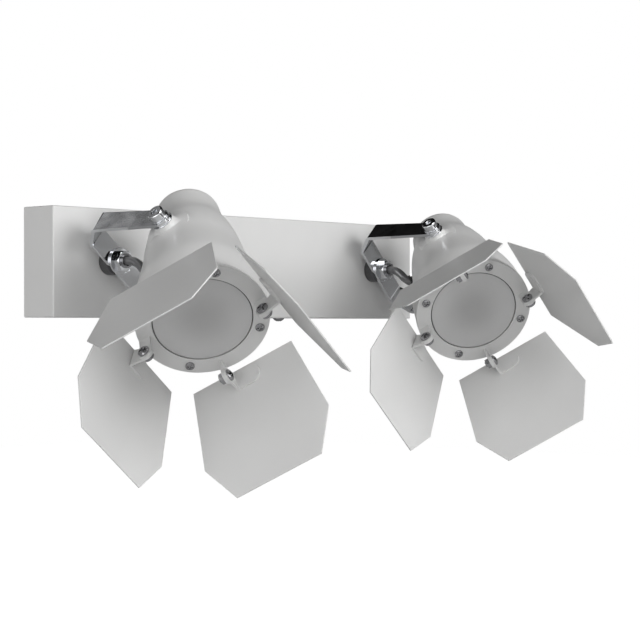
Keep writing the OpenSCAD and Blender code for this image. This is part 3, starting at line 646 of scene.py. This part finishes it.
class SpotlightStage(bpy.types.PropertyGroup):
    """Lamps, the room's light and the floor"""
    key: FloatProperty(
        name="Key lamp", description="Power of the large lamp at the right, in front",
        unit="POWER", min=0, max=200, default=13.5)
    fill: FloatProperty(
        name="Fill lamp", description="Power of the large lamp at the left, in front",
        unit="POWER", min=0, max=200, default=7)
    ahead: FloatProperty(
        name="Front lamp", description="Power of the large lamp beside the camera",
        unit="POWER", min=0, max=200, default=3.6)
    top: FloatProperty(
        name="Top lamp", description="Power of the lamp above, in front",
        unit="POWER", min=0, max=200, default=4.4)
    around: FloatProperty(
        name="Room light", description="Strength of the soft light from in front",
        min=0, max=2, default=0.6)
    above: FloatProperty(
        name="Light from above", description="Share of the room light that comes from above",
        subtype="FACTOR", min=0, max=1, default=0)
    below: FloatProperty(
        name="Light from below", description="Share of the room light that comes from below",
        subtype="FACTOR", min=0, max=1, default=0.6)
    behind: FloatProperty(
        name="Light from behind", description="Share of the room light that comes from behind",
        subtype="FACTOR", min=0, max=1, default=0.3)
    glow: FloatProperty(
        name="Glow behind", description="Strength of the faint glow behind at the upper left",
        min=0, max=2, default=0.27)
    floor: FloatProperty(
        name="Floor height", description="Height of the floor under the box's middle",
        unit="LENGTH", min=-3, max=-0.2, default=-0.6)


# ---- operators


class SPOTLIGHT_OT_wall_box(bpy.types.Operator):
    """Sheet-metal cover, back plate and what they hold"""
    bl_idname = "spotlight.wall_box"
    bl_label = "Wall box"

    def execute(self, context):
        sizes = context.scene.spotlight_sizes
        eased("cover", COVER_EDGE)
        eased("back_plate", PLATE_EDGE)
        eased("cover_screws", sizes.screw_edge)
        eased("terminal_block", BLOCK_EDGE)
        eased("earth_terminal", sizes.screw_edge)
        eased("cable_grommet", RUBBER_EDGE)
        eased("leads", WIRE_EDGE)
        return {"FINISHED"}


class SPOTLIGHT_OT_stems(bpy.types.Operator):
    """Hollow stems with their spacers, washers and nuts"""
    bl_idname = "spotlight.stems"
    bl_label = "Stems"

    def execute(self, context):
        sizes = context.scene.spotlight_sizes
        eased("spacers", SPACER_EDGE)
        for node in ("stems", "stem_nuts", "stem_washers"):
            eased(node, sizes.screw_edge)
        return {"FINISHED"}


class SPOTLIGHT_OT_yokes(bpy.types.Operator):
    """Bent chrome strips with the pivot screws and washers"""
    bl_idname = "spotlight.yokes"
    bl_label = "Yokes"

    def execute(self, context):
        sizes = context.scene.spotlight_sizes
        for side in SIDES:
            eased(side + "_yoke", sizes.strip_edge, segments=3)
            eased(side + "_pivot_screws", PIVOT_EDGE, segments=3)
            eased(side + "_pivot_washers", sizes.screw_edge)
        return {"FINISHED"}


def bell_profile():
    """The bell's closed wall as (radius, place along the lamp axis): out along the smooth outer curve, over
    the flange, and back inside at the wall's thickness."""
    under = FLANGE_FRONT - FLANGE_THICK
    shares = np.array(BELL_SHARES)
    knots = np.stack([shares[:, 1] * FLANGE_R, shares[:, 0] * (BELL_BACK + under) - BELL_BACK], 1)
    outer = curve_through(knots, BELL_STEPS)
    rim = rounded([outer[-1], (FLANGE_R, under), (FLANGE_R, FLANGE_FRONT), (SEAT_R, FLANGE_FRONT),
                   (SEAT_R, FLANGE_FRONT - SEAT_DEEP)], FLANGE_ROUNDS)[1:]
    inner = knots[::-1][1:-1] - np.array([BELL_WALL, 0])
    inner[:, 1] = np.maximum(inner[:, 1], BELL_WALL - BELL_BACK)
    inner = inner[inner[:, 1] < FLANGE_FRONT - SEAT_DEEP]
    return np.vstack([(0, -BELL_BACK), outer, rim, inner, (0, BELL_WALL - BELL_BACK)])


def boss_profile():
    """A pivot boss as (radius, place along the tilt axis): a cylinder whose radius grows towards the bell by
    BOSS_FLARE times exp(-(place - BOSS_FOOT) / BOSS_FADE), with a rounded outer edge."""
    along = np.linspace(BOSS_IN, BOSS_OUT - BOSS_EDGE, BOSS_RINGS)
    flare = BOSS_R + BOSS_FLARE * np.exp(-(along - BOSS_FOOT) / BOSS_FADE).clip(0, BOSS_WIDEST)
    edge = (BOSS_R - BOSS_EDGE_MID[0], BOSS_OUT - BOSS_EDGE_MID[1])
    return np.vstack([(0, BOSS_IN), np.stack([flare, along], 1), edge, (BOSS_R - BOSS_EDGE, BOSS_OUT),
                      (0, BOSS_OUT)])


class SPOTLIGHT_OT_bells(bpy.types.Operator):
    """Turned bells with their pivot bosses, cable grommets and what they hold inside"""
    bl_idname = "spotlight.bells"
    bl_label = "Bells"

    def execute(self, context):
        profile = bell_profile()
        boss = boss_profile()
        for side in SIDES:
            pivot, u, n = lamp_frame(side)
            parts = [revolve(profile, pivot, n, u, BELL_TURNS)]
            parts += [revolve(boss, pivot, way * u, n, BOSS_TURNS) for way in (-1, 1)]
            piece = make_piece(side + "_bell_turned", *join(parts), crease=TURNED_CREASE)
            dress(piece, side + "_bell", body=side + "_head")
            eased(side + "_bell_grommet", RUBBER_EDGE, segments=3)
            for inner in ("lamp_holder", "bulb", "reflector", "gasket"):
                eased("%s_%s" % (side, inner), INNER_EDGE)
        return {"FINISHED"}


class SPOTLIGHT_OT_lenses(bpy.types.Operator):
    """Frosted lenses with the rings and screws that hold them"""
    bl_idname = "spotlight.lenses"
    bl_label = "Lenses and rings"

    def execute(self, context):
        sizes = context.scene.spotlight_sizes
        step = LENS_STEP - LENS_CLEAR
        foot = [(0, LENS_BACK), (LENS_FOOT_R, LENS_BACK), (LENS_FOOT_R, step), (LENS_R, step)]
        face = [(r * LENS_R, LENS_FACE) for r in np.linspace(1, 0, LENS_RINGS)]
        profile = rounded(foot + face, LENS_ROUNDS)
        for side in SIDES:
            pivot, u, n = lamp_frame(side)
            verts, faces = revolve(profile, pivot, n, u, LENS_TURNS)
            piece = make_piece(side + "_lens_pane", verts, faces, crease=TURNED_CREASE)
            off = np.cross(verts - pivot, n)
            share = piece.data.attributes.new(RIM_SHARE, "FLOAT", "POINT")
            share.data.foreach_set("value", np.linalg.norm(off, axis=1) / LENS_FOOT_R)
            dress(piece, side + "_lens", body=side + "_head")
            eased(side + "_ring", sizes.sheet_edge, flat=0)
            eased(side + "_ring_screws", RING_SCREW_EDGE)
        return {"FINISHED"}


class SPOTLIGHT_OT_doors(bpy.types.Operator):
    """Barn doors on their hinge leaves, bolts and nuts"""
    bl_idname = "spotlight.doors"
    bl_label = "Barn doors"

    def execute(self, context):
        sizes = context.scene.spotlight_sizes
        for side in SIDES:
            for number in DOORS:
                for kind in ("door", "leaf"):
                    eased("%s_%s_%d" % (side, kind, number), sizes.sheet_edge, segments=3)
            eased(side + "_hinge_bolts", BOLT_EDGE)
            eased(side + "_hinge_nuts", sizes.screw_edge)
        return {"FINISHED"}


def cable_points(side):
    """The route's points in the frame's axes: from the foot of the stem on the box, out along -Y and
    sideways across the tilt axis."""
    pivot, u, _ = lamp_frame(side)
    out = np.array([0.0, -1.0, 0.0])
    across = np.cross(out, u)
    route = curve_through(ROUTES[side], CABLE_STEPS) * MM
    start = np.array([pivot[0], STEM_FACE_Y, pivot[2]])
    return start + route[:, :1] * across + route[:, 1:] * out


class SPOTLIGHT_OT_cables(bpy.types.Operator):
    """Lamp cables from the hollow stems into the bells"""
    bl_idname = "spotlight.cables"
    bl_label = "Lamp cables"

    def execute(self, context):
        diameter = context.scene.spotlight_sizes.cable
        for side in SIDES:
            path = cable_points(side)
            pivot, u, _ = lamp_frame(side)
            sheath = tube(path, u, diameter / 2, CABLE_TURNS)
            piece = make_piece(side + "_cable_sheath", *sheath, crease=CABLE_CREASE)
            dress(piece, side + "_cable")
            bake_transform(piece)
        return {"FINISHED"}


def matrix_of(x, y, z, place):
    """The 4x4 matrix with those axes and that place."""
    rows = [[float(x[k]), float(y[k]), float(z[k]), float(place[k])] for k in range(3)]
    return Matrix(rows + [[0, 0, 0, 1]])


def area_lamp(name, place, aim, size, power):
    """A square area lamp at place, turned towards aim."""
    data = bpy.data.lights.new(name, "AREA")
    data.shape = "SQUARE"
    data.size = size
    data.energy = power
    lamp = bpy.data.objects.new(name, data)
    bpy.context.scene.collection.objects.link(lamp)
    back = unit(place - aim)
    side = unit(np.cross((0, 0, 1), back))
    lamp.matrix_world = matrix_of(side, np.cross(back, side), back, place)


def photo_camera(scene):
    """The photograph's camera. Returns the directions right, back (towards the camera) and up in the picture
    before its roll."""
    bearing, rise, roll = (math.radians(v) for v in (CAMERA_BEARING, CAMERA_RISE, CAMERA_ROLL))
    back = np.array([math.sin(bearing) * math.cos(rise), -math.cos(bearing) * math.cos(rise), math.sin(rise)])
    right = np.array([math.cos(bearing), math.sin(bearing), 0.0])
    up = np.cross(back, right)
    rolled = math.cos(roll) * right + math.sin(roll) * up
    place = np.array(CAMERA_AIM) + CAMERA_DISTANCE * back
    data = bpy.data.cameras.new("photo_camera")
    data.sensor_width = SENSOR
    data.lens = CAMERA_FOCAL_PX * SENSOR / PICTURE_PX
    data.clip_start, data.clip_end = CAMERA_CLIP
    camera = bpy.data.objects.new("photo_camera", data)
    scene.collection.objects.link(camera)
    camera.matrix_world = matrix_of(rolled, np.cross(back, rolled), back, place)
    scene.camera = camera
    return right, back, up


class SPOTLIGHT_OT_stage(bpy.types.Operator):
    """Camera, floor, lamps and the room's light"""
    bl_idname = "spotlight.stage"
    bl_label = "Stage"

    def execute(self, context):
        scene = context.scene
        settings = scene.spotlight_stage
        scene.view_settings.view_transform = "Standard"
        right, back, up = photo_camera(scene)
        centre = np.array(STAGE_CENTRE)
        for name, (x, y, z), distance, size in LAMPS:
            place = centre + distance * (x * right + y * back + z * up)
            area_lamp(name, place, centre, size, getattr(settings, name))
        corners = ((-1, -1), (1, -1), (1, 1), (-1, 1))
        verts = [(x * FLOOR_HALF, y * FLOOR_HALF, settings.floor) for x, y in corners]
        floor = make_piece("floor", verts, [(0, 1, 2, 3)])
        floor.data.materials.append(floor_material())
        room_light(scene, settings, right, back)
        return {"FINISHED"}


def floor_material():
    """A pale matt floor that the camera sees nearly white, with the object's shadow on it."""
    material = bpy.data.materials.new("pale_floor")
    material.use_nodes = True
    tree = material.node_tree
    tree.nodes.clear()
    out = tree.nodes.new("ShaderNodeOutputMaterial")
    matt = tree.nodes.new("ShaderNodeBsdfDiffuse")
    matt.inputs["Color"].default_value = (FLOOR_GREY, FLOOR_GREY, FLOOR_GREY, 1)
    glow = tree.nodes.new("ShaderNodeEmission")
    path = tree.nodes.new("ShaderNodeLightPath")
    both = tree.nodes.new("ShaderNodeAddShader")
    link = tree.links.new
    link(path.outputs["Is Camera Ray"], glow.inputs["Strength"])
    link(matt.outputs["BSDF"], both.inputs[0])
    link(glow.outputs["Emission"], both.inputs[1])
    link(both.outputs["Shader"], out.inputs["Surface"])
    return material


def room_light(scene, settings, right, back):
    """The room: soft light from the camera's half, weaker above and below, and a faint glow behind at the
    upper left; white to the camera and through the glass."""
    world = bpy.data.worlds.new("room")
    scene.world = world
    world.use_nodes = True
    tree = world.node_tree
    tree.nodes.clear()
    link = tree.links.new
    out = tree.nodes.new("ShaderNodeOutputWorld")
    way = tree.nodes.new("ShaderNodeTexCoord").outputs["Generated"]
    share = {}
    for name, axis in (("right", right), ("back", back), ("up", (0, 0, 1))):
        dot = tree.nodes.new("ShaderNodeVectorMath")
        dot.operation = "DOT_PRODUCT"
        dot.inputs[1].default_value = tuple(float(v) for v in axis)
        link(way, dot.inputs[0])
        share[name] = dot.outputs["Value"]
    around, glowing = settings.around, settings.glow
    front = combine(tree, "MULTIPLY",
                    ramp(tree, share["back"], *FRONT_BACK, settings.behind * around, around),
                    ramp(tree, share["up"], *FRONT_UP, 1, settings.above),
                    ramp(tree, share["up"], *FRONT_DOWN, settings.below, 1))
    streaks = tree.nodes.new("ShaderNodeTexNoise")
    streaks.inputs["Scale"].default_value = STREAK_SCALE
    streaks.inputs["Detail"].default_value = 1.0
    link(way, streaks.inputs["Vector"])
    glow = combine(tree, "MULTIPLY",
                   ramp(tree, streaks.outputs["Fac"], *STREAK_NOISE, *STREAK_STRENGTH),
                   ramp(tree, share["right"], *GLOW_RIGHT, glowing, GLOW_REST * glowing),
                   ramp(tree, share["back"], *GLOW_BACK, 1, 0),
                   ramp(tree, share["up"], *GLOW_UP, 0, 1))
    light = tree.nodes.new("ShaderNodeBackground")
    light.inputs["Color"].default_value = (1, 1, 1, 1)
    link(combine(tree, "ADD", front, glow), light.inputs["Strength"])
    white = tree.nodes.new("ShaderNodeBackground")
    white.inputs["Color"].default_value = (1, 1, 1, 1)
    white.inputs["Strength"].default_value = 1.0
    path = tree.nodes.new("ShaderNodeLightPath")
    seen = tree.nodes.new("ShaderNodeMath")
    seen.operation = "ADD"
    seen.use_clamp = True
    mix = tree.nodes.new("ShaderNodeMixShader")
    link(path.outputs["Is Camera Ray"], seen.inputs[0])
    link(path.outputs["Is Transmission Ray"], seen.inputs[1])
    link(seen.outputs["Value"], mix.inputs["Fac"])
    link(light.outputs["Background"], mix.inputs[1])
    link(white.outputs["Background"], mix.inputs[2])
    link(mix.outputs["Shader"], out.inputs["Surface"])


# ---- panel and registration

OPERATORS = (SPOTLIGHT_OT_stage, SPOTLIGHT_OT_wall_box, SPOTLIGHT_OT_stems, SPOTLIGHT_OT_yokes,
             SPOTLIGHT_OT_bells, SPOTLIGHT_OT_lenses, SPOTLIGHT_OT_doors, SPOTLIGHT_OT_cables)


class SPOTLIGHT_PT_panel(bpy.types.Panel):
    """Sizes, colours and the steps that build the spotlight"""
    bl_label = "Spotlight"
    bl_idname = "SPOTLIGHT_PT_panel"
    bl_space_type = "VIEW_3D"
    bl_region_type = "UI"
    bl_category = "Spotlight"

    def draw(self, context):
        scene = context.scene
        for group in (scene.spotlight_finish, scene.spotlight_sizes, scene.spotlight_stage):
            box = self.layout.box()
            for name in group.__annotations__:
                box.prop(group, name)
        for operator in OPERATORS:
            self.layout.operator(operator.bl_idname)


CLASSES = (SpotlightFinish, SpotlightSizes, SpotlightStage) + OPERATORS + (SPOTLIGHT_PT_panel,)


def register():
    for item in CLASSES:
        bpy.utils.register_class(item)
    bpy.types.Scene.spotlight_finish = PointerProperty(type=SpotlightFinish)
    bpy.types.Scene.spotlight_sizes = PointerProperty(type=SpotlightSizes)
    bpy.types.Scene.spotlight_stage = PointerProperty(type=SpotlightStage)


def unregister():
    for name in ("spotlight_stage", "spotlight_sizes", "spotlight_finish"):
        delattr(bpy.types.Scene, name)
    for item in reversed(CLASSES):
        bpy.utils.unregister_class(item)


def main():
    """Builds the whole scene in order."""
    register()
    bpy.ops.spotlight.stage()
    bpy.ops.spotlight.wall_box()
    bpy.ops.spotlight.stems()
    bpy.ops.spotlight.yokes()
    bpy.ops.spotlight.bells()
    bpy.ops.spotlight.lenses()
    bpy.ops.spotlight.doors()
    bpy.ops.spotlight.cables()


if __name__ == "__main__":
    main()
